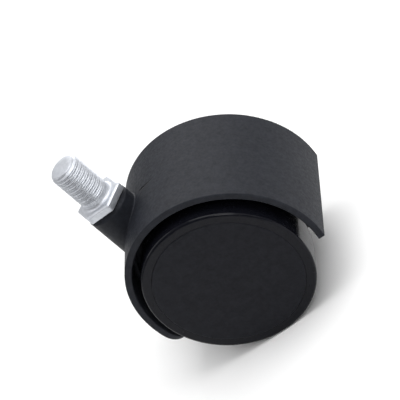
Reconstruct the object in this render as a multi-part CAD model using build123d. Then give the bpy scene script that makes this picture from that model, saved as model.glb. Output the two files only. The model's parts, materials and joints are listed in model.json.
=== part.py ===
from build123d import *
import os
from math import radians, sqrt, tan

# Hooded twin-wheel furniture caster of the 50 mm class, with an M10 threaded stem.
# Millimetres. +Z runs up the stem, +X is forward (from the stem towards the axle) and +Y is left.
# The origin is on the stem's axis, at the top face of its hexagon, where the furniture bears on it.
# Heights and distances named "from axle" are measured from the wheels' common centre line.

# Layout
TRAIL = 18.0                    # the axle is this far ahead of the stem's axis
HEX_TOP_ABOVE_AXLE = 35.8
AXLE_Z = -HEX_TOP_ABOVE_AXLE
RUNNING_CLEARANCE = 0.05        # radial, between a pin and the hole that it turns in
SAME_PLACE = 0.01               # two corners or edges nearer than this are the same one

# Threaded stem
THREAD_RADIUS = 4.875           # crest of an M10 thread, modelled as a plain cylinder
THREAD_LENGTH = 15.0
THREAD_CHAMFER = 1.0
HEX_ACROSS_FLATS = 14.0
HEX_THICKNESS = 2.5
HEX_CHAMFER_SLOPE = tan(radians(30))
HEX_CHAMFER_INSET = 0.35        # the corner chamfer starts this far inside the flats
PIN_RADIUS = 4.0
PIN_LENGTH = 25.0
PIN_CHAMFER = 0.8
GROOVE_RADIUS = 3.2
GROOVE_WIDTH = 1.3
GROOVE_ABOVE_PIN_END = 1.8

# Split ring in the pin's groove
RING_INNER_RADIUS = 3.35
RING_OUTER_RADIUS = 4.7
RING_THICKNESS = 1.0
RING_OPENING = 3.0

# Steel liner pressed into the boss
SLEEVE_OUTER_RADIUS = 5.0
SLEEVE_LENGTH = 21.3
SLEEVE_TOP_GAP = 0.1            # between the hexagon and the sleeve that carries it
SLEEVE_LEAD_IN = 0.3

# Hood, boss and web: one moulding
HOOD_RADIUS = 30.1
HOOD_WALL = 2.1
HOOD_HALF_WIDTH = 18.2
HOOD_CENTRE_FORWARD = 0.6       # hood's centre ahead of the axle
FRONT_LIP_FROM_AXLE = -6.6
REAR_EDGE_FROM_AXLE = -12.7
REAR_CORNER_RADIUS = 8.0
HOOD_EDGE_ROUND = 0.3
BOSS_RADIUS = 7.2
BOSS_TOP_GAP = 0.5              # between the hexagon and the boss
BOSS_TOP_RADIUS = 6.4
BOSS_TAPER = 1.2                # height over which the boss narrows to its top
BOSS_TAPER_ROUND = 0.4
BOSS_BLEND_RADIUS = 0.35
SOCKET_BELOW_PIN = 0.8
SOCKET_FLOOR = 2.2
WEB_HALF_THICKNESS = 7.2
WEB_PLATE_HALF_THICKNESS = 1.0
WEB_FLANGE = 2.0
WEB_TOP_FROM_AXLE = 3.0         # above this height the web fills the hood
KEEL_RADIUS = 14.0
WEB_FOOT_RADIUS = 4.0
REAR_FOOT_FROM_AXLE = (-22.5, -6.5)
FRONT_FOOT_FROM_AXLE = (22.0, 2.0)
HUB_RADIUS = 7.5
HUB_HALF_LENGTH = 8.9
RIB_THICKNESS = 1.6
RIB_ANGLES = (20, 70, 110)

# Axle and its push-on fasteners
AXLE_RADIUS = 3.0
AXLE_HALF_LENGTH = 17.9
AXLE_CHAMFER = 0.5
NUT_RADIUS = 6.0
NUT_DISH_RADIUS = 4.3
NUT_SHEET = 0.5
NUT_DISH = 0.7
NUT_SLOTS = 6
NUT_SLOT_WIDTH = 0.7
NUT_AXIAL_GAP = 0.2

# Wheels: distances along the axle are from the caster's middle plane
WHEEL_RADIUS = 25.0
WHEEL_INNER_Y = 9.3
RIM_FACE_Y = 20.5
TREAD_EDGE_ROUND = 0.9
TREAD_INNER_CHAMFER = 0.4
WHEEL_BORE_RADIUS = AXLE_RADIUS + RUNNING_CLEARANCE
WHEEL_HUB_RADIUS = 6.5
WHEEL_HUB_INNER_Y = 9.15
WHEEL_HUB_OUTER_Y = 15.8
WHEEL_DISC_INNER_Y = 11.2
WHEEL_DISC_OUTER_Y = 13.2
RIM_INNER_RADIUS = 21.5
WHEEL_RIBS = 10
WHEEL_RIB_THICKNESS = 1.5
WHEEL_RIB_INNER_Y = 9.6
RIB_OVERLAP = 0.5               # a rib runs this far into the hub and into the rim

# Snap-in wheel caps
RECESS_RADIUS = 22.05
RECESS_LEDGE_Y = 18.6
CAP_RADIUS = 22.0
CAP_FACE_Y = 20.7
CAP_EDGE_ROUND = 0.3
CAP_INNER_Y = 19.3
CAP_SKIRT_THICKNESS = 0.8
CAP_SKIRT_GAP = 0.05
CAP_SKIRT_END_Y = 16.2
SNAP_BEAD = 0.25                # how far the bead stands out of the skirt
SNAP_BEAD_Y = 16.8
SNAP_BEAD_HALF_WIDTH = 0.4
CAP_SLOTS = 6
CAP_SLOT_TOP_Y = 18.0
CAP_SLOT_WIDTH = 2.0

# Derived places
HEX_BOTTOM_Z = -HEX_THICKNESS
BOSS_TOP_Z = HEX_BOTTOM_Z - BOSS_TOP_GAP
SLEEVE_TOP_Z = HEX_BOTTOM_Z - SLEEVE_TOP_GAP
PIN_END_Z = HEX_BOTTOM_Z - PIN_LENGTH
GROOVE_LOW_Z = PIN_END_Z + GROOVE_ABOVE_PIN_END
SOCKET_END_Z = PIN_END_Z - SOCKET_BELOW_PIN
BOSS_BOTTOM_Z = SOCKET_END_Z - SOCKET_FLOOR
HOOD_INNER_RADIUS = HOOD_RADIUS - HOOD_WALL
HOOD_X = TRAIL + HOOD_CENTRE_FORWARD
FRONT_LIP_Z = AXLE_Z + FRONT_LIP_FROM_AXLE
REAR_EDGE_Z = AXLE_Z + REAR_EDGE_FROM_AXLE


def cylinder_z(radius, low, high):
    """Cylinder on the stem's axis."""
    return Pos(0, 0, (low + high) / 2) * Cylinder(radius, high - low)


def cylinder_y(radius, half_length, x, z):
    """Cylinder along Y, centred on the middle plane."""
    return Pos(x, 0, z) * Rot(90, 0, 0) * Cylinder(radius, 2 * half_length)


def turned_z(outline):
    """Solid turned about the stem's axis from (radius, z) points."""
    return revolve(Plane.XZ * make_face(Polyline(*outline, close=True)), axis=Axis.Z)


def turned_y(face):
    """Solid turned about the axle from a face drawn as (radius, y)."""
    return Pos(TRAIL, 0, AXLE_Z) * revolve(face, axis=Axis.Y)


def corners_at(section, radius, y):
    """The corner of a turned section at that radius and distance along the axle."""
    return [
        vertex for vertex in section.vertices()
        if abs(vertex.X - radius) < SAME_PLACE and abs(vertex.Y - y) < SAME_PLACE
    ]


def around_axle(shape, count):
    """Copies of a shape placed evenly around the axle."""
    centre = Pos(TRAIL, 0, AXLE_Z)
    copies = [centre * Rot(0, 360 * i / count, 0) * shape for i in range(count)]
    return copies[0].fuse(*copies[1:])


def make_threaded_stem():
    top = THREAD_LENGTH
    shaft = turned_z([
        (0, top), (THREAD_RADIUS - THREAD_CHAMFER, top), (THREAD_RADIUS, top - THREAD_CHAMFER),
        (THREAD_RADIUS, HEX_BOTTOM_Z / 2), (PIN_RADIUS, HEX_BOTTOM_Z / 2),
        (PIN_RADIUS, GROOVE_LOW_Z + GROOVE_WIDTH), (GROOVE_RADIUS, GROOVE_LOW_Z + GROOVE_WIDTH),
        (GROOVE_RADIUS, GROOVE_LOW_Z), (PIN_RADIUS, GROOVE_LOW_Z),
        (PIN_RADIUS, PIN_END_Z + PIN_CHAMFER), (PIN_RADIUS - PIN_CHAMFER, PIN_END_Z), (0, PIN_END_Z),
    ])
    corner_radius = HEX_ACROSS_FLATS / sqrt(3)
    hexagon = Pos(0, 0, HEX_BOTTOM_Z) * extrude(RegularPolygon(corner_radius, 6), HEX_THICKNESS)
    cone_start = HEX_ACROSS_FLATS / 2 - HEX_CHAMFER_INSET
    corner_drop = (corner_radius - cone_start) * HEX_CHAMFER_SLOPE
    chamfered = turned_z([
        (0, 0), (cone_start, 0), (corner_radius, -corner_drop), (corner_radius, HEX_BOTTOM_Z),
        (0, HEX_BOTTOM_Z),
    ])
    return shaft + (hexagon & chamfered)


def make_retaining_ring():
    low = GROOVE_LOW_Z + (GROOVE_WIDTH - RING_THICKNESS) / 2
    high = low + RING_THICKNESS
    ring = cylinder_z(RING_OUTER_RADIUS, low, high) - cylinder_z(RING_INNER_RADIUS, low, high)
    opening = Pos(-RING_OUTER_RADIUS, 0, (low + high) / 2) * Box(
        2 * RING_OUTER_RADIUS, RING_OPENING, RING_THICKNESS
    )
    return ring - opening


def make_socket_sleeve():
    bore = PIN_RADIUS + RUNNING_CLEARANCE
    low = SLEEVE_TOP_Z - SLEEVE_LENGTH
    return turned_z([
        (bore + SLEEVE_LEAD_IN, SLEEVE_TOP_Z), (SLEEVE_OUTER_RADIUS, SLEEVE_TOP_Z),
        (SLEEVE_OUTER_RADIUS, low), (bore + SLEEVE_LEAD_IN, low), (bore, low + SLEEVE_LEAD_IN),
        (bore, SLEEVE_TOP_Z - SLEEVE_LEAD_IN),
    ])


def hood_shell():
    """Curved wall, cut level at the front lip and with two rounded corners at the rear."""
    tube = cylinder_y(HOOD_RADIUS, HOOD_HALF_WIDTH, HOOD_X, AXLE_Z)
    tube -= cylinder_y(HOOD_INNER_RADIUS, HOOD_HALF_WIDTH, HOOD_X, AXLE_Z)
    reach = 2 * HOOD_RADIUS
    front_keep = Pos(HOOD_X, 0, FRONT_LIP_Z) * Box(
        reach, reach, reach, align=(Align.MIN, Align.CENTER, Align.MIN)
    )
    rear_view = Pos(0, REAR_EDGE_Z) * Rectangle(
        2 * HOOD_HALF_WIDTH, reach, align=(Align.CENTER, Align.MIN)
    )
    bottom_corners = rear_view.vertices().sort_by(Axis.Y)[:2]
    rear_view = fillet(bottom_corners, REAR_CORNER_RADIUS)
    rear_keep = Pos(HOOD_X, 0, 0) * extrude(Plane.YZ * rear_view, -reach)
    shell = tube & (front_keep + rear_keep)
    return fillet(shell.edges(), HOOD_EDGE_ROUND)


def where_boss_meets_hood(edge):
    """Whether an edge lies both on the boss's side and on the hood's outer face."""
    middle = edge @ 0.5
    from_stem = sqrt(middle.X ** 2 + middle.Y ** 2)
    from_hood_centre = sqrt((middle.X - HOOD_X) ** 2 + (middle.Z - AXLE_Z) ** 2)
    on_boss = abs(from_stem - BOSS_RADIUS) < SAME_PLACE
    on_hood = abs(from_hood_centre - HOOD_RADIUS) < SAME_PLACE
    return on_boss and on_hood


def boss_on_hood():
    """Hood with the stem's boss standing on it, blended into the curved wall."""
    boss = turned_z([
        (0, BOSS_BOTTOM_Z), (BOSS_RADIUS, BOSS_BOTTOM_Z), (BOSS_RADIUS, BOSS_TOP_Z - BOSS_TAPER),
        (BOSS_TOP_RADIUS, BOSS_TOP_Z), (0, BOSS_TOP_Z),
    ])
    shoulder = boss.edges().filter_by(GeomType.CIRCLE).sort_by(Axis.Z)[-2]
    solid = hood_shell() + fillet(shoulder, BOSS_TAPER_ROUND)
    return fillet(solid.edges().filter_by(where_boss_meets_hood), BOSS_BLEND_RADIUS)


def web_outline():
    """Side view of the web: it fills the hood and comes down round the axle as a keel."""
    keel = Circle(KEEL_RADIUS)
    rear_foot = Pos(*REAR_FOOT_FROM_AXLE) * Circle(WEB_FOOT_RADIUS)
    front_foot = Pos(*FRONT_FOOT_FROM_AXLE) * Circle(WEB_FOOT_RADIUS)
    feet = make_hull([*keel.edges(), *rear_foot.edges(), *front_foot.edges()])
    upper = Pos(0, WEB_TOP_FROM_AXLE) * Rectangle(
        2 * HOOD_RADIUS, 2 * HOOD_RADIUS, align=(Align.CENTER, Align.MIN)
    )
    inside_hood = Pos(HOOD_CENTRE_FORWARD, 0) * Circle(HOOD_INNER_RADIUS + HOOD_WALL / 2)
    return (feet + upper) & inside_hood


def web_extrusion(outline, half_thickness):
    side_view = Plane(origin=(TRAIL, 0, AXLE_Z), x_dir=(1, 0, 0), z_dir=(0, -1, 0))
    return extrude(side_view * outline, half_thickness, both=True)


def web_rib(angle):
    length = HOOD_INNER_RADIUS + HOOD_CENTRE_FORWARD
    rib = Pos(length / 2, 0, 0) * Box(length, 2 * WEB_HALF_THICKNESS, RIB_THICKNESS)
    return Pos(TRAIL, 0, AXLE_Z) * Rot(0, -angle, 0) * rib


def make_hood_body():
    outline = web_outline()
    web = web_extrusion(outline, WEB_HALF_THICKNESS)
    pockets = web_extrusion(offset(outline, -WEB_FLANGE), WEB_HALF_THICKNESS)
    plate = web_extrusion(outline, WEB_PLATE_HALF_THICKNESS)
    body = boss_on_hood() + (web - pockets + plate)
    for angle in RIB_ANGLES:
        body += web_rib(angle)
    body += cylinder_y(HUB_RADIUS, HUB_HALF_LENGTH, TRAIL, AXLE_Z)
    body -= cylinder_y(AXLE_RADIUS, HUB_HALF_LENGTH, TRAIL, AXLE_Z)
    body -= cylinder_z(SLEEVE_OUTER_RADIUS, SOCKET_END_Z, BOSS_TOP_Z)
    return body


def make_axle():
    axle = cylinder_y(AXLE_RADIUS, AXLE_HALF_LENGTH, TRAIL, AXLE_Z)
    return chamfer(axle.edges().filter_by(GeomType.CIRCLE), AXLE_CHAMFER)


def make_push_nut():
    """Dished spring-steel disc whose inner teeth bite on the axle."""
    back = WHEEL_HUB_OUTER_Y + NUT_AXIAL_GAP
    front = back + NUT_SHEET
    section = make_face(Polyline(
        (NUT_RADIUS, back), (NUT_RADIUS, front), (NUT_DISH_RADIUS, front),
        (AXLE_RADIUS, front + NUT_DISH), (AXLE_RADIUS, back + NUT_DISH), (NUT_DISH_RADIUS, back),
        close=True,
    ))
    slot = Pos(NUT_DISH_RADIUS / 2, (back + front + NUT_DISH) / 2, 0) * Box(
        NUT_DISH_RADIUS, 2 * (NUT_SHEET + NUT_DISH), NUT_SLOT_WIDTH
    )
    return turned_y(section) - around_axle(slot, NUT_SLOTS)


def make_wheel():
    bead_low = SNAP_BEAD_Y - SNAP_BEAD_HALF_WIDTH
    bead_high = SNAP_BEAD_Y + SNAP_BEAD_HALF_WIDTH
    groove_radius = RIM_INNER_RADIUS + SNAP_BEAD
    section = make_face(Polyline(
        (WHEEL_BORE_RADIUS, WHEEL_HUB_INNER_Y), (WHEEL_HUB_RADIUS, WHEEL_HUB_INNER_Y),
        (WHEEL_HUB_RADIUS, WHEEL_DISC_INNER_Y), (RIM_INNER_RADIUS, WHEEL_DISC_INNER_Y),
        (RIM_INNER_RADIUS, WHEEL_INNER_Y), (WHEEL_RADIUS - TREAD_INNER_CHAMFER, WHEEL_INNER_Y),
        (WHEEL_RADIUS, WHEEL_INNER_Y + TREAD_INNER_CHAMFER), (WHEEL_RADIUS, RIM_FACE_Y),
        (RECESS_RADIUS, RIM_FACE_Y), (RECESS_RADIUS, RECESS_LEDGE_Y),
        (RIM_INNER_RADIUS, RECESS_LEDGE_Y), (RIM_INNER_RADIUS, bead_high + SNAP_BEAD),
        (groove_radius, bead_high), (groove_radius, bead_low),
        (RIM_INNER_RADIUS, bead_low - SNAP_BEAD), (RIM_INNER_RADIUS, WHEEL_DISC_OUTER_Y),
        (WHEEL_HUB_RADIUS, WHEEL_DISC_OUTER_Y), (WHEEL_HUB_RADIUS, WHEEL_HUB_OUTER_Y),
        (WHEEL_BORE_RADIUS, WHEEL_HUB_OUTER_Y),
        close=True,
    ))
    section = fillet(corners_at(section, WHEEL_RADIUS, RIM_FACE_Y), TREAD_EDGE_ROUND)
    rib_span = RIM_INNER_RADIUS - WHEEL_HUB_RADIUS + 2 * RIB_OVERLAP
    rib_middle = (
        (WHEEL_HUB_RADIUS + RIM_INNER_RADIUS) / 2, (WHEEL_RIB_INNER_Y + WHEEL_DISC_OUTER_Y) / 2, 0
    )
    rib = Pos(*rib_middle) * Box(
        rib_span, WHEEL_DISC_OUTER_Y - WHEEL_RIB_INNER_Y, WHEEL_RIB_THICKNESS
    )
    return turned_y(section) + around_axle(rib, WHEEL_RIBS)


def make_wheel_cap():
    """Flat disc with a slotted skirt, whose bead snaps into the rim's groove."""
    skirt_outer = RIM_INNER_RADIUS - CAP_SKIRT_GAP
    skirt_inner = skirt_outer - CAP_SKIRT_THICKNESS
    bead_outer = skirt_outer + SNAP_BEAD - CAP_SKIRT_GAP
    section = make_face(Polyline(
        (0, CAP_FACE_Y), (0, CAP_INNER_Y), (skirt_inner, CAP_INNER_Y),
        (skirt_inner, CAP_SKIRT_END_Y), (skirt_outer, CAP_SKIRT_END_Y),
        (bead_outer, SNAP_BEAD_Y), (skirt_outer, SNAP_BEAD_Y + SNAP_BEAD_HALF_WIDTH),
        (skirt_outer, RECESS_LEDGE_Y), (CAP_RADIUS, RECESS_LEDGE_Y), (CAP_RADIUS, CAP_FACE_Y),
        close=True,
    ))
    section = fillet(corners_at(section, CAP_RADIUS, CAP_FACE_Y), CAP_EDGE_ROUND)
    slot_height = 2 * (CAP_SLOT_TOP_Y - CAP_SKIRT_END_Y)
    slot = Pos(skirt_inner, CAP_SLOT_TOP_Y - slot_height / 2, 0) * Box(
        4 * CAP_SKIRT_THICKNESS, slot_height, CAP_SLOT_WIDTH
    )
    return turned_y(section) - around_axle(slot, CAP_SLOTS)


def mirrored(shape):
    """The same piece on the caster's right side."""
    return shape.mirror(Plane.XZ)


os.makedirs("parts", exist_ok=True)

pieces = {
    "threaded_stem": make_threaded_stem(),
    "stem_retaining_ring": make_retaining_ring(),
    "socket_sleeve": make_socket_sleeve(),
    "hood_body": make_hood_body(),
    "axle": make_axle(),
}
paired_pieces = {
    "axle_push_nut": make_push_nut(),
    "wheel": make_wheel(),
    "wheel_cap": make_wheel_cap(),
}
for name, shape in paired_pieces.items():
    pieces["left_" + name] = shape
    pieces["right_" + name] = mirrored(shape)

for name, shape in pieces.items():
    export_step(shape, f"parts/{name}.step")
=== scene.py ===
import json
import math

import bpy
from mathutils import Matrix, Vector, noise


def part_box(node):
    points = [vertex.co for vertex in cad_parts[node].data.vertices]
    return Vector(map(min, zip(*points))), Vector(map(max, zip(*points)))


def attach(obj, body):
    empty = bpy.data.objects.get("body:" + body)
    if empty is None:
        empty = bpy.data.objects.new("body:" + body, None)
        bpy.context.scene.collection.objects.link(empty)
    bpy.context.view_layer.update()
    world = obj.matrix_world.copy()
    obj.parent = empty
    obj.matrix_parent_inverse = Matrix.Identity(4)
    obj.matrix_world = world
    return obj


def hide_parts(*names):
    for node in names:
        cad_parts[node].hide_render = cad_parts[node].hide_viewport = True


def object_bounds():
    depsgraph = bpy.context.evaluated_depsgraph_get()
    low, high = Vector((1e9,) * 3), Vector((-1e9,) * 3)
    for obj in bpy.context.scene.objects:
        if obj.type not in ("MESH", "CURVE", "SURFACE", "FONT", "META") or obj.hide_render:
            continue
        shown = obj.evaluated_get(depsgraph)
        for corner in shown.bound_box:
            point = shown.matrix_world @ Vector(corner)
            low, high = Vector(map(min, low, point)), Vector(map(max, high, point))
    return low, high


# Visual model of the hooded twin-wheel caster. Metres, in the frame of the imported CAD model:
# +Z up the stem, +X forward, +Y left, origin on the stem's axis at the hexagon's top face.
MM = 0.001

# Threaded stem
THREAD_PITCH = 1.5 * MM
THREAD_DEPTH = 0.25 * MM
# Over one pitch: how far along the form, and how deep as a share of THREAD_DEPTH. The crest has
# the seam that thread rolling leaves.
THREAD_FORM = (
    (0.00, 0.0), (0.10, 0.45), (0.20, 0.85), (0.30, 0.45), (0.40, 0.0),
    (0.50, 0.40), (0.60, 0.85), (0.70, 1.0), (0.80, 0.85), (0.90, 0.40),
)
CREST_RADIUS = 4.875 * MM
SHANK_RADIUS = 4.7 * MM         # smooth neck below the thread
TIP_RADIUS = 3.8 * MM           # end face, inside the end chamfer
TIP_EDGE = 0.12 * MM
TIP_RUN_OUT = 0.4 * MM          # the thread fades over this length below the end
END_RING_RADIUS = 0.5 * TIP_RADIUS
DENT_DEPTH = 0.10 * MM
DENT_SIZE = 0.7 * MM
THREAD_LOW = 1.1 * MM           # the thread starts here and is full RUN_OUT higher up
RUN_OUT = 1.8 * MM
BASE_FILLET = 1.1 * MM
FLATS_RADIUS = 7.0 * MM
CORNER_RADIUS = 7.98 * MM
HEX_BOTTOM = -2.5 * MM
HEX_BEVEL_INSET = 0.67 * MM
HEX_BEVEL_DROP = 0.39 * MM
HEX_BEVEL_ROUND = 0.15          # share of the bevel's width that is rounded at each of its edges
HEX_EDGE = 0.12 * MM
PIN_RADIUS = 4.0 * MM
PIN_CHAMFER = 0.8 * MM
GROOVE_RADIUS = 3.2 * MM
GROOVE_WIDTH = 1.3 * MM
GROOVE_ABOVE_END = 1.8 * MM

# Stem mesh
COLUMNS = 144
FILLET_STEPS = 6
EDGE_STEPS = 4
JOIN_DISTANCE = 0.002 * MM      # joins the thread's rows where they end at one height
SHARP_ANGLE = 40                # edges that turn by more degrees than this are shaded sharp

# Weld line that runs forward on top of the hood, ahead of the boss
WELD_Y = 0.7 * MM
WELD_WANDER = 0.3 * MM          # to either side of WELD_Y
WELD_WANDER_LENGTH = 3 * MM
WELD_CORE = 0.15 * MM           # full within this distance of the line, gone beyond WELD_REACH
WELD_REACH = 0.5 * MM
WELD_START_X = 9.0 * MM
WELD_DARKEST_X = 11.0 * MM
WELD_END_X = 16.5 * MM
WELD_LOWEST_Z = -16 * MM        # keeps it off what lies below the top of the hood
WELD_FULL_Z = -15 * MM
WELD_GROOVE_DEPTH = 0.12 * MM

# Base colours of the nylons and the floor
# Near-black painted shade that darkens the weld line's groove on the hood
WELD_GROOVE_PAINTED_SHADE = (0.0005, 0.0006, 0.0008)
HOOD_BLACK = (0.0200, 0.0220, 0.0285)
WHEEL_DARK = (0.0035, 0.0038, 0.0062)
WHEEL_LIGHT = (0.0065, 0.0069, 0.0102)
CAP_DARK = (0.0064, 0.0069, 0.0098)
CAP_LIGHT = (0.0120, 0.0126, 0.0170)
FLOOR_DARK = (0.93, 0.93, 0.93)
FLOOR_LIGHT = (0.95, 0.95, 0.95)

# Steels: name, base colour where darkest and where lightest, roughness where smoothest and where roughest
ZINC_PLATE = ("zinc_plate", (0.53, 0.55, 0.59), (0.62, 0.64, 0.68), 0.46, 0.60)
AXLE_STEEL = ("axle_steel", (0.5, 0.5, 0.52), (0.58, 0.58, 0.6), 0.22, 0.3)
SLEEVE_STEEL = ("sleeve_steel", (0.42, 0.42, 0.44), (0.5, 0.5, 0.52), 0.3, 0.4)
SPRING_STEEL = ("spring_steel", (0.18, 0.18, 0.19), (0.26, 0.26, 0.27), 0.35, 0.5)

# Camera: where it looks, from where, and its roll, which leans its top to the right when negative
CAMERA_AIM = Vector((17.43, 6.66, -24.77)) * MM
CAMERA_AZIMUTH = 27.9
CAMERA_ELEVATION = 29.1
CAMERA_DISTANCE = 676.7 * MM
CAMERA_ROLL = -49.1
CAMERA_LENS = 209.8
SENSOR_WIDTH = 36.0

# Studio: strength of the surroundings, then name, direction, size in metres and watts of each light
WORLD_IN_FRONT = 0.08
WORLD_BEHIND = 0.75
LIGHT_DISTANCE = 1.0
LIGHTS = (
    ("top", (0.4, 0, 0.92), 0.9, 8.0),
    ("back", (0, 0.95, 0.3), 0.7, 4.0),
    ("right", (0.9, -0.15, 0.4), 0.5, 0.8),
    ("left", (-0.7, 0, 0.7), 0.7, 2.2),
    ("front", (0.45, -0.65, 0.62), 0.3, 1.8),
)
FLOOR_HALF_WIDTH = 2.0

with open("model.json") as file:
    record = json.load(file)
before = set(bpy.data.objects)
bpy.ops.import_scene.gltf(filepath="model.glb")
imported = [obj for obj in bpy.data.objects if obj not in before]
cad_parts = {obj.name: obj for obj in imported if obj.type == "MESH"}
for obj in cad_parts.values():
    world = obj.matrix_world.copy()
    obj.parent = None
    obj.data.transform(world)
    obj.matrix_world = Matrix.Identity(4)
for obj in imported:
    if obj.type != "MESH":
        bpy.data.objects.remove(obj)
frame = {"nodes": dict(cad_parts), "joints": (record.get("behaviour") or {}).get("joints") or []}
cad_low, cad_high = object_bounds()
joint_place = {joint["name"]: Vector(joint["pos_m"]) for joint in frame["joints"]}
axle_centre = joint_place["right_wheel_spin"]


# ---------- stem mesh ----------

def lofted(name, rows):
    """Closed mesh through rows of (radii, heights, back) about Z, from top to bottom.

    The last point of a row is joined to the first point of the row that lies back rows before it,
    which is the row itself when back is 0 and one turn of the helix higher in a thread.
    """
    angles = [2 * math.pi * i / COLUMNS for i in range(COLUMNS)]
    points = []
    joined = []
    for row, (radii, heights, back) in enumerate(rows):
        for angle, radius, height in zip(angles, radii, heights):
            points.append((radius * math.cos(angle), radius * math.sin(angle), height))
        start = row * COLUMNS
        joined.append([*range(start, start + COLUMNS), (row - back) * COLUMNS])
    faces = []
    for above, below in zip(joined, joined[1:]):
        for i in range(COLUMNS):
            faces.append((above[i], below[i], below[i + 1], above[i + 1]))
    top, bottom = len(points), len(points) + 1
    points.append((0, 0, rows[0][1][0]))
    points.append((0, 0, rows[-1][1][0]))
    last = (len(rows) - 1) * COLUMNS
    for i in range(COLUMNS):
        j = (i + 1) % COLUMNS
        faces.append((top, i, j))
        faces.append((bottom, last + j, last + i))
    mesh = bpy.data.meshes.new(name)
    mesh.from_pydata(points, [], faces)
    return mesh


def round_row(radius, height):
    """A level circle, as a row for lofted."""
    return [radius] * COLUMNS, [height] * COLUMNS, 0


def quarter_round(radius, steps):
    """Steps down a quarter circle: the distance sideways from its top and the height over its foot."""
    for step in range(steps + 1):
        turn = math.radians(90 * step / steps)
        yield radius * (1 - math.cos(turn)), radius * (1 - math.sin(turn))


def eased(value):
    """0 below 0, 1 above 1, with a smooth step between."""
    value = min(max(value, 0.0), 1.0)
    return value * value * (3 - 2 * value)


def thread_rows(top):
    """Rows that run round with the helix, held between the run-out and the end chamfer.

    A row that would pass either end stays level there, so both ends finish in a level circle.
    """
    high = top - TIP_EDGE
    turn_above = math.ceil(high / THREAD_PITCH) + 1
    rows = []
    for turn in range(turn_above, -2, -1):
        for phase, share in reversed(THREAD_FORM):
            radii, heights = [], []
            for i in range(COLUMNS):
                height = (turn + phase + i / COLUMNS) * THREAD_PITCH
                height = min(max(height, THREAD_LOW), high)
                formed = eased((height - THREAD_LOW) / RUN_OUT)
                crest = SHANK_RADIUS + (CREST_RADIUS - SHANK_RADIUS) * formed
                uncut = min(crest, TIP_RADIUS + (top - height))
                leaving = eased((high - height) / TIP_RUN_OUT)
                angle = 2 * math.pi * i / COLUMNS
                place = Vector((uncut * math.cos(angle), uncut * math.sin(angle), height))
                dent = DENT_DEPTH * max(noise.noise(place / DENT_SIZE), 0)
                radii.append(uncut - (THREAD_DEPTH * share + dent) * formed * leaving)
                heights.append(height)
            rows.append((radii, heights, min(len(rows), len(THREAD_FORM))))
    return rows


def hexagon_row(inset, height):
    """Outline of the hexagon with its turned corners, moved inwards by inset."""
    radii = []
    for i in range(COLUMNS):
        angle = math.radians((360 * i / COLUMNS) % 60 - 30)
        radii.append(min((FLATS_RADIUS - inset) / math.cos(angle), CORNER_RADIUS - inset))
    return radii, [height] * COLUMNS, 0


def hexagon_rows():
    """Fillet under the thread, flat top, bevelled upper edge and rounded lower edge."""
    rows = []
    for outwards, height in quarter_round(BASE_FILLET, FILLET_STEPS):
        rows.append(round_row(SHANK_RADIUS + outwards, height))
    soft = HEX_BEVEL_ROUND
    rows.append(hexagon_row(HEX_BEVEL_INSET * (1 + soft), 0))
    rows.append(hexagon_row(HEX_BEVEL_INSET * (1 - soft), -HEX_BEVEL_DROP * soft))
    rows.append(hexagon_row(HEX_BEVEL_INSET * soft, -HEX_BEVEL_DROP * (1 - soft)))
    rows.append(hexagon_row(0, -HEX_BEVEL_DROP * (1 + soft)))
    for inset, height in quarter_round(HEX_EDGE, EDGE_STEPS):
        rows.append(hexagon_row(inset, HEX_BOTTOM + height))
    return rows


def make_stem(low, high):
    """Thread, hexagon and grooved pin as one mesh, in place of the CAD stem between these heights."""
    rows = [round_row(END_RING_RADIUS, high), round_row(TIP_RADIUS - TIP_EDGE, high)]
    rows += thread_rows(high)
    rows += hexagon_rows()
    groove_low = low + GROOVE_ABOVE_END
    groove_high = groove_low + GROOVE_WIDTH
    for radius, height in (
        (PIN_RADIUS, HEX_BOTTOM), (PIN_RADIUS, groove_high), (GROOVE_RADIUS, groove_high),
        (GROOVE_RADIUS, groove_low), (PIN_RADIUS, groove_low), (PIN_RADIUS, low + PIN_CHAMFER),
        (PIN_RADIUS - PIN_CHAMFER, low),
    ):
        rows.append(round_row(radius, height))
    mesh = lofted("zinc_plated_stem", rows)
    piece = bpy.data.objects.new("zinc_plated_stem", mesh)
    bpy.context.scene.collection.objects.link(piece)
    weld = piece.modifiers.new("weld", "WELD")
    weld.merge_threshold = JOIN_DISTANCE
    mesh.shade_smooth()
    mesh.set_sharp_from_angle(angle=math.radians(SHARP_ANGLE))
    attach(piece, "stem")
    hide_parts("threaded_stem")
    return piece


# ---------- materials ----------

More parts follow.
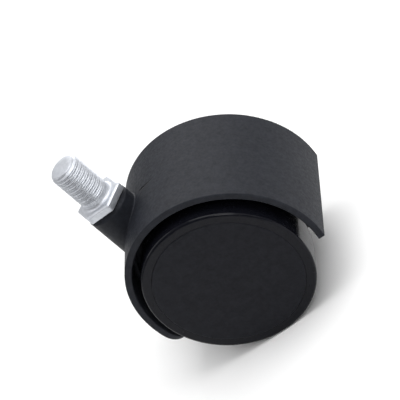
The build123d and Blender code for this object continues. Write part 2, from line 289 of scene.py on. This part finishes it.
class Material:
    """A node material with short calls for the noise, ramps and bumps that all of them share."""

    def __init__(self, name):
        self.material = bpy.data.materials.new(name)
        self.material.use_nodes = True
        self.nodes = self.material.node_tree.nodes
        self.links = self.material.node_tree.links
        self.shader = self.nodes["Principled BSDF"]
        self.coordinates = self.nodes.new("ShaderNodeTexCoord").outputs["Object"]
        self.bump_normal = None

    def set(self, **values):
        """Sets sockets of the shader, with _ for each space in a socket's name."""
        for socket, value in values.items():
            self.shader.inputs[socket.replace("_", " ")].default_value = value

    def noise(self, size, detail=3, stretch=(1, 1, 1), roughness=0.5):
        """Noise whose features are about size metres across, longer where stretch is over 1."""
        mapping = self.nodes.new("ShaderNodeMapping")
        mapping.inputs["Scale"].default_value = [1 / amount for amount in stretch]
        texture = self.nodes.new("ShaderNodeTexNoise")
        texture.inputs["Scale"].default_value = 1 / size
        texture.inputs["Detail"].default_value = detail
        texture.inputs["Roughness"].default_value = roughness
        self.links.new(self.coordinates, mapping.inputs["Vector"])
        self.links.new(mapping.outputs["Vector"], texture.inputs["Vector"])
        return texture.outputs["Fac"]

    def grain(self, size):
        """Fine speckle of a moulded surface."""
        return self.noise(size, detail=6, roughness=0.8)

    def ramp(self, value, low, high, start=0.35, end=0.65):
        """Low up to start, high from end on. Most of a noise lies between the default limits."""
        node = self.nodes.new("ShaderNodeMapRange")
        node.inputs["From Min"].default_value = start
        node.inputs["From Max"].default_value = end
        node.inputs["To Min"].default_value = low
        node.inputs["To Max"].default_value = high
        self.links.new(value, node.inputs["Value"])
        return node.outputs["Result"]

    def compute(self, operation, *values):
        """Result of a math node such as MULTIPLY on these sockets."""
        node = self.nodes.new("ShaderNodeMath")
        node.operation = operation
        for socket, value in zip(node.inputs, values):
            self.links.new(value, socket)
        return node.outputs["Value"]

    def bump(self, value, height):
        """Adds a bump of that height in metres on top of the ones before it."""
        node = self.nodes.new("ShaderNodeBump")
        node.inputs["Distance"].default_value = height
        self.links.new(value, node.inputs["Height"])
        if self.bump_normal:
            self.links.new(self.bump_normal, node.inputs["Normal"])
        self.bump_normal = node.outputs["Normal"]
        self.links.new(self.bump_normal, self.shader.inputs["Normal"])

    def colour(self, value, first, second):
        """Base colour that goes from first to second as value goes from 0 to 1."""
        node = self.nodes.new("ShaderNodeMix")
        node.data_type = "RGBA"
        node.inputs["A"].default_value = (*first, 1)
        node.inputs["B"].default_value = (*second, 1)
        self.links.new(value, node.inputs["Factor"])
        self.links.new(node.outputs["Result"], self.shader.inputs["Base Color"])

    def roughness(self, value):
        self.links.new(value, self.shader.inputs["Roughness"])


def weld_line(made):
    """1 on the line where two melt fronts met ahead of the boss, falling to 0 beside it."""
    place = made.nodes.new("ShaderNodeSeparateXYZ")
    made.links.new(made.coordinates, place.inputs["Vector"])
    x, y, z = place.outputs["X"], place.outputs["Y"], place.outputs["Z"]
    line_y = made.ramp(made.noise(WELD_WANDER_LENGTH), WELD_Y - WELD_WANDER, WELD_Y + WELD_WANDER)
    offset = made.compute("ABSOLUTE", made.compute("SUBTRACT", line_y, y))
    near = made.ramp(offset, 1, 0, start=WELD_CORE, end=WELD_REACH)
    rising = made.ramp(x, 0, 1, start=WELD_START_X, end=WELD_DARKEST_X)
    fading = made.ramp(x, 1, 0, start=WELD_DARKEST_X, end=WELD_END_X)
    on_top = made.ramp(z, 0, 1, start=WELD_LOWEST_Z, end=WELD_FULL_Z)
    shown = made.compute("MULTIPLY", made.compute("MULTIPLY", rising, fading), on_top)
    return made.compute("MULTIPLY", near, shown)


def hood_nylon():
    """Black nylon with the fine grain of a spark-eroded mould."""
    made = Material("hood_nylon")
    made.set(Specular_IOR_Level=0.13)
    line = weld_line(made)
    grain = made.ramp(made.grain(2.5 * MM), 0.6, 1)
    # The colour falls to near-black along the weld line: painted shade in its groove, on top of the
    # groove's bump
    made.colour(made.compute("SUBTRACT", grain, line), WELD_GROOVE_PAINTED_SHADE, HOOD_BLACK)
    patches = made.ramp(made.noise(0.8 * MM), 0.48, 0.62)
    made.roughness(made.compute("MAXIMUM", patches, line))
    made.bump(made.noise(0.45 * MM, roughness=0.7), 0.02 * MM)
    made.bump(made.noise(3 * MM), 0.012 * MM)
    made.bump(line, -WELD_GROOVE_DEPTH)
    return made.material


def wheel_nylon():
    """Smooth black nylon, scuffed on the tread where it has rolled."""
    made = Material("wheel_nylon")
    made.set(Specular_IOR_Level=0.13)
    made.colour(made.ramp(made.grain(2 * MM), 0, 1), WHEEL_DARK, WHEEL_LIGHT)
    scuffs = made.noise(0.5 * MM, stretch=(6, 1, 6))
    made.roughness(made.ramp(scuffs, 0.14, 0.32, start=0.5, end=0.75))
    made.bump(made.noise(0.6 * MM, detail=2), 0.004 * MM)
    return made.material


def cap_nylon():
    """Black nylon disc with a fine matte grain."""
    made = Material("cap_nylon")
    made.set(Specular_IOR_Level=0.11)
    made.colour(made.ramp(made.grain(2 * MM), 0, 1), CAP_DARK, CAP_LIGHT)
    made.roughness(made.ramp(made.noise(0.9 * MM), 0.45, 0.58))
    made.bump(made.noise(0.5 * MM, roughness=0.7), 0.014 * MM)
    return made.material


def steel(name, dark, light, smoothest, roughest):
    """Metal with cloudy colour, fine grit and faint streaks, which are rings on what is turned about Z."""
    made = Material(name)
    made.set(Metallic=1.0)
    made.colour(made.ramp(made.noise(1.2 * MM, detail=5, roughness=0.7), 0, 1), dark, light)
    streaks = made.noise(0.3 * MM, stretch=(14, 14, 1))
    made.roughness(made.ramp(streaks, smoothest, roughest))
    made.bump(made.noise(0.35 * MM, detail=2), 0.008 * MM)
    made.bump(streaks, 0.012 * MM)
    return made.material


def dress(node_names, material):
    """Gives these CAD nodes the material as their only one."""
    for name in node_names:
        mesh = frame["nodes"][name].data
        mesh.materials.clear()
        mesh.materials.append(material)


# ---------- stage ----------

def make_floor():
    """Pale floor under the lowest point of the wheels."""
    half = FLOOR_HALF_WIDTH
    height = cad_low.z
    mesh = bpy.data.meshes.new("floor")
    corners = [(-half, -half, height), (half, -half, height), (half, half, height), (-half, half, height)]
    mesh.from_pydata(corners, [], [(0, 1, 2, 3)])
    floor = bpy.data.objects.new("floor", mesh)
    bpy.context.scene.collection.objects.link(floor)
    made = Material("floor")
    made.set(Specular_IOR_Level=0.1)
    made.colour(made.ramp(made.noise(300 * MM), 0, 1), FLOOR_DARK, FLOOR_LIGHT)
    made.roughness(made.ramp(made.noise(100 * MM), 0.8, 0.9))
    mesh.materials.append(made.material)


def soft_light(name, direction, size, power):
    """Square light that faces the wheels from that direction."""
    data = bpy.data.lights.new(name, "AREA")
    data.shape = "SQUARE"
    data.size = size
    data.energy = power
    light = bpy.data.objects.new(name, data)
    bpy.context.scene.collection.objects.link(light)
    direction = Vector(direction).normalized()
    light.location = axle_centre + direction * LIGHT_DISTANCE
    light.rotation_mode = "QUATERNION"
    light.rotation_quaternion = direction.to_track_quat("Z", "Y")


def make_world(front, behind):
    """Even grey surroundings that brighten from the front (-Y) to the wall behind (+Y)."""
    world = bpy.data.worlds.new("studio")
    world.use_nodes = True
    nodes, links = world.node_tree.nodes, world.node_tree.links
    direction = nodes.new("ShaderNodeSeparateXYZ")
    links.new(nodes.new("ShaderNodeTexCoord").outputs["Generated"], direction.inputs["Vector"])
    level = nodes.new("ShaderNodeMapRange")
    level.inputs["From Min"].default_value = -1
    level.inputs["To Min"].default_value = front
    level.inputs["To Max"].default_value = behind
    links.new(direction.outputs["Y"], level.inputs["Value"])
    links.new(level.outputs["Result"], nodes["Background"].inputs["Strength"])
    nodes["Background"].inputs["Color"].default_value = (1, 1, 1, 1)
    bpy.context.scene.world = world


def make_camera():
    """Camera that looks at CAMERA_AIM, rolled about its own line of sight."""
    azimuth, elevation = math.radians(CAMERA_AZIMUTH), math.radians(CAMERA_ELEVATION)
    back = Vector((
        math.sin(azimuth) * math.cos(elevation),
        -math.cos(azimuth) * math.cos(elevation),
        math.sin(elevation),
    ))
    data = bpy.data.cameras.new("camera")
    data.sensor_width = SENSOR_WIDTH
    data.lens = CAMERA_LENS
    camera = bpy.data.objects.new("camera", data)
    bpy.context.scene.collection.objects.link(camera)
    level = (-back).to_track_quat("-Z", "Y").to_matrix()
    roll = Matrix.Rotation(math.radians(CAMERA_ROLL), 3, "Z")
    camera.rotation_mode = "QUATERNION"
    camera.rotation_quaternion = (level @ roll).to_quaternion()
    camera.location = CAMERA_AIM + back * CAMERA_DISTANCE
    bpy.context.scene.camera = camera


stem_low, stem_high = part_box("threaded_stem")
stem = make_stem(stem_low.z, stem_high.z)
stem.data.materials.append(steel(*ZINC_PLATE))

dress(["hood_body"], hood_nylon())
dress(["left_wheel", "right_wheel"], wheel_nylon())
dress(["left_wheel_cap", "right_wheel_cap"], cap_nylon())
dress(["axle"], steel(*AXLE_STEEL))
dress(["socket_sleeve"], steel(*SLEEVE_STEEL))
dress(["stem_retaining_ring", "left_axle_push_nut", "right_axle_push_nut"], steel(*SPRING_STEEL))

make_floor()
make_world(WORLD_IN_FRONT, WORLD_BEHIND)
for light in LIGHTS:
    soft_light(*light)
make_camera()
bpy.context.scene.view_settings.view_transform = "Standard"
